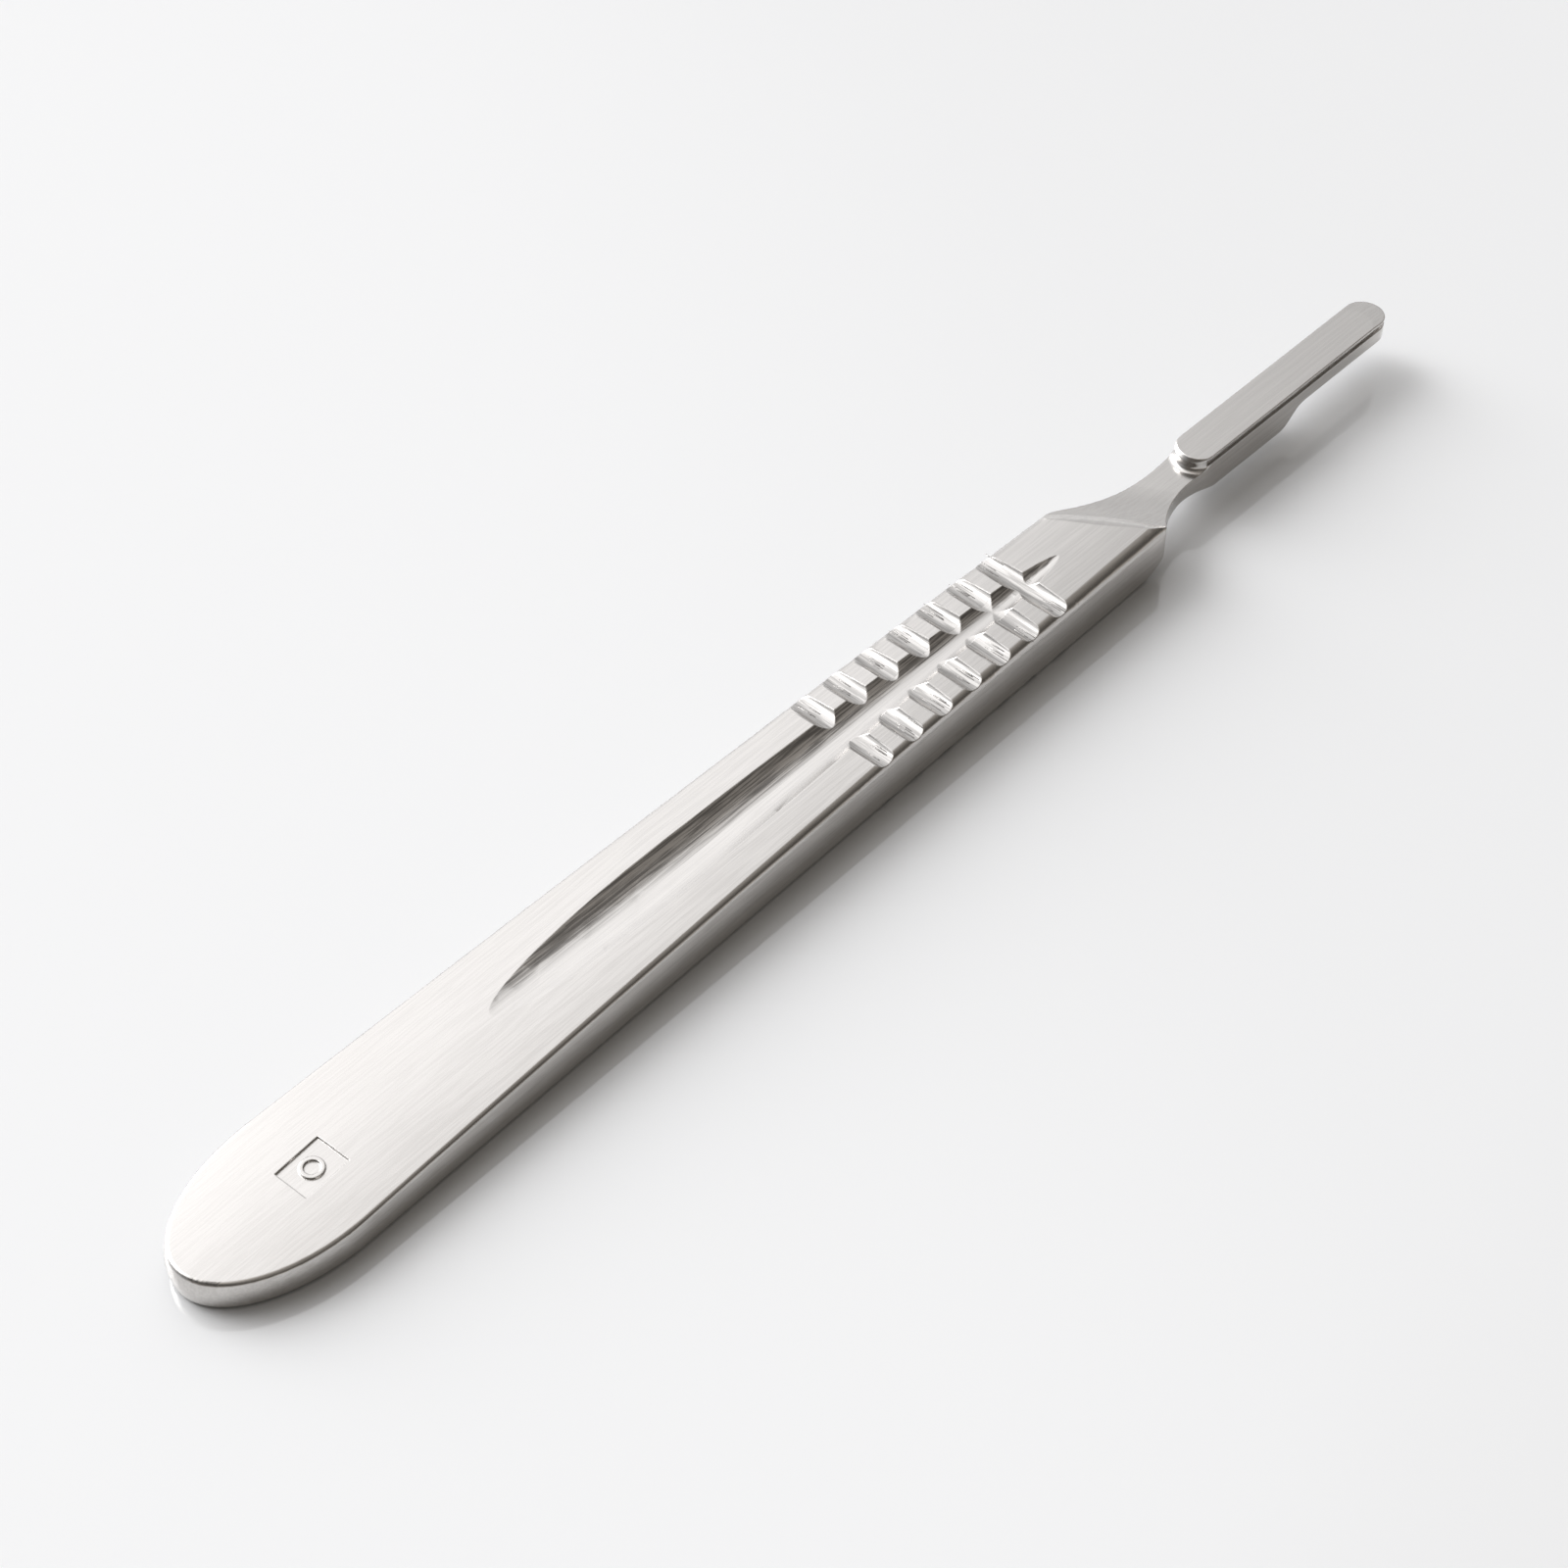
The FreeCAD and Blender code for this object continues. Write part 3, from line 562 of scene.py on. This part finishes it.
@dataclass
class MillingMarks:
    """Fine burrs that the cutter left along the grip's scoops, millimetres in the handle's frame."""

    # Real burrs are too fine to show in the render, so a sliver is drawn 0.12 mm wide. Its
    # length is twice half_length times a share from shortest to longest.
    node: str = "scalpel_handle"
    scoops: int = 7
    marks: int = 8
    first_x: float = -0.72
    pitch: float = 3.58
    tail_reach: float = -0.35
    front_reach: float = 0.95
    middle_y: float = 3.3
    spread_y: float = 0.45
    start_z: float = 6.0
    lift: float = 1.0
    ray_length: float = 10.0
    half_width: float = 0.06
    half_length: float = 1.1
    half_height: float = 0.030
    shortest: float = 0.55
    longest: float = 1.1
    segments: int = 6
    rings: int = 4
    seed: int = 4

    def chance(self, tree: Tree, seed: Socket, low: float, high: float, shift: int) -> Socket:
        """Gives a random value for each sliver.

        Args:
            tree: the marks' tree.
            seed: the tree's seed.
            low: least value.
            high: greatest value.
            shift: what is added to the seed, so that two values don't go together.

        Returns:
            The value.
        """
        own = outlet(tree, Kind.MATH, {0: seed, 1: float(shift)}, operation="ADD")
        return add_node(tree, Kind.CHANCE, {2: low, 3: high, 8: own}).outputs[1]

    def starts(self, tree: Tree, given: Any) -> Socket:
        """Spreads the slivers' starting points above the scoops, in two rows.

        Args:
            tree: the marks' tree.
            given: the tree's inputs.

        Returns:
            The points.
        """
        count = outlet(tree, Kind.MATH, {0: given["Scoops"], 1: given["Marks"]}, operation="MULTIPLY")
        line = outlet(tree, Kind.LINE, {"Count": count, "Offset": (0.0, 0.0, 0.0)})
        index = outlet(tree, Kind.INDEX)
        scoop = outlet(tree, Kind.MATH, {0: index, 1: given["Marks"]}, operation="DIVIDE")
        scoop = outlet(tree, Kind.MATH, {0: scoop}, operation="FLOOR")
        row = outlet(tree, Kind.MATH, {0: index, 1: 2.0}, operation="MODULO")
        row = outlet(tree, Kind.MATH, {0: row, 1: 2.0}, operation="MULTIPLY")
        row = outlet(tree, Kind.MATH, {0: row, 1: 1.0}, operation="SUBTRACT")
        middle = outlet(tree, Kind.MATH, {0: scoop, 1: given["Pitch"]}, operation="MULTIPLY")
        middle = outlet(tree, Kind.MATH, {0: given["First"], 1: middle}, operation="ADD")
        reach = self.chance(tree, given["Seed"], self.tail_reach * MM, self.front_reach * MM, 0)
        x = outlet(tree, Kind.MATH, {0: middle, 1: reach}, operation="ADD")
        aside = self.chance(tree, given["Seed"], (self.middle_y - self.spread_y) * MM,
                            (self.middle_y + self.spread_y) * MM, 1)
        y = outlet(tree, Kind.MATH, {0: row, 1: aside}, operation="MULTIPLY")
        above = outlet(tree, Kind.JOIN, {0: x, 1: y, 2: self.start_z * MM})
        return outlet(tree, Kind.SET_POSITION, {"Geometry": line, "Position": above})

    def tree(self) -> bpy.types.GeometryNodeTree:
        """Makes the tree that drops slivers onto the scoops and lays them along the cut.

        Returns:
            The tree, whose inputs are the body, the counts, the scoops' places and the seed.
        """
        tree = bpy.data.node_groups.new("milling_marks", "GeometryNodeTree")
        sockets = (("Body", "NodeSocketObject"), ("Steel", "NodeSocketMaterial"), ("Scoops", "NodeSocketInt"),
                   ("Marks", "NodeSocketInt"), ("First", "NodeSocketFloat"), ("Pitch", "NodeSocketFloat"),
                   ("Seed", "NodeSocketInt"))
        for name, kind in sockets:
            tree.interface.new_socket(name, in_out="INPUT", socket_type=kind)
        tree.interface.new_socket("Geometry", in_out="OUTPUT", socket_type="NodeSocketGeometry")
        given = add_node(tree, Kind.GROUP_IN).outputs
        points = self.starts(tree, given)
        body = add_node(tree, Kind.OBJECT, {"Object": given["Body"]}).outputs["Geometry"]
        here = outlet(tree, Kind.POSITION)
        source = outlet(tree, Kind.VECTOR, {0: here, 1: (0.0, 0.0, self.lift * MM)}, operation="ADD")
        ray = add_node(tree, Kind.RAYCAST, {"Target Geometry": body, "Source Position": source,
                                            "Ray Direction": (0.0, 0.0, -1.0),
                                            "Ray Length": self.ray_length * MM})
        seated = outlet(tree, Kind.SET_POSITION, {"Geometry": points, "Position": ray.outputs["Hit Position"]})
        turn = outlet(tree, Kind.ALIGN, {"Vector": ray.outputs["Hit Normal"]}, axis="Z", pivot_axis="Y")
        ball = add_node(tree, Kind.BALL, {"Segments": self.segments, "Rings": self.rings, "Radius": MM})
        sliver = outlet(tree, Kind.TRANSFORM, {"Geometry": ball.outputs["Mesh"],
                                               "Scale": (self.half_width, self.half_length, self.half_height)})
        length = self.chance(tree, given["Seed"], self.shortest, self.longest, 2)
        stretch = outlet(tree, Kind.JOIN, {0: 1.0, 1: length, 2: 1.0})
        placed = outlet(tree, Kind.INSTANCES,
                        {"Points": seated, "Instance": sliver, "Rotation": turn, "Scale": stretch})
        real = outlet(tree, Kind.REALIZE, {"Geometry": placed})
        coated = outlet(tree, Kind.SET_MATERIAL, {"Geometry": real, "Material": given["Steel"]})
        add_node(tree, Kind.GROUP_OUT, {"Geometry": coated})
        return tree

    def build(self, steel: bpy.types.Material) -> bpy.types.Object:
        """Makes the marks as one plain mesh.

        Args:
            steel: the handle's material.

        Returns:
            The marks, which ride with the handle.
        """
        tree = self.tree()
        host = bpy.data.objects.new("marks_host", bpy.data.meshes.new("marks_host"))
        bpy.context.scene.collection.objects.link(host)
        values = {"Body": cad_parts[self.node], "Steel": steel, "Scoops": self.scoops, "Marks": self.marks,
                  "First": self.first_x * MM, "Pitch": self.pitch * MM, "Seed": self.seed}
        modifier = host.modifiers.new("milling_marks", "NODES")
        modifier.node_group = tree
        for socket in tree.interface.items_tree:
            if socket.in_out == "INPUT":
                modifier[socket.identifier] = values[socket.name]
        ready = host.evaluated_get(bpy.context.evaluated_depsgraph_get())
        mesh = bpy.data.meshes.new_from_object(ready)
        bpy.data.objects.remove(host)
        mesh.name = "milling_marks"
        piece = bpy.data.objects.new("milling_marks", mesh)
        bpy.context.scene.collection.objects.link(piece)
        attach(piece, "root")
        return piece


@dataclass
class ScalpelHandle:
    """The handle itself: one forged piece, which keeps its solid's form."""

    node: str = "scalpel_handle"

    def dress(self) -> bpy.types.Object:
        """Gives the solid its steel.

        Returns:
            The dressed object.
        """
        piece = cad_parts[self.node]
        steel = GroundSteel().build()
        for place in piece.material_slots:
            place.material = steel
        return piece


def main() -> None:
    """Builds the studio and dresses the handle, piece by piece."""
    logging.basicConfig(level=logging.INFO, format="%(name)s: %(message)s")
    bpy.context.scene.view_settings.view_transform = "Standard"
    for part in (PhotoCamera(), Studio(), Tabletop()):
        part.build()
        LOG.info("built %s", type(part).__name__)
    piece = ScalpelHandle().dress()
    LOG.info("dressed %s", piece.name)
    marks = MillingMarks().build(piece.material_slots[0].material)
    LOG.info("built %s with %d faces", marks.name, len(marks.data.polygons))


if __name__ == "__main__":
    main()
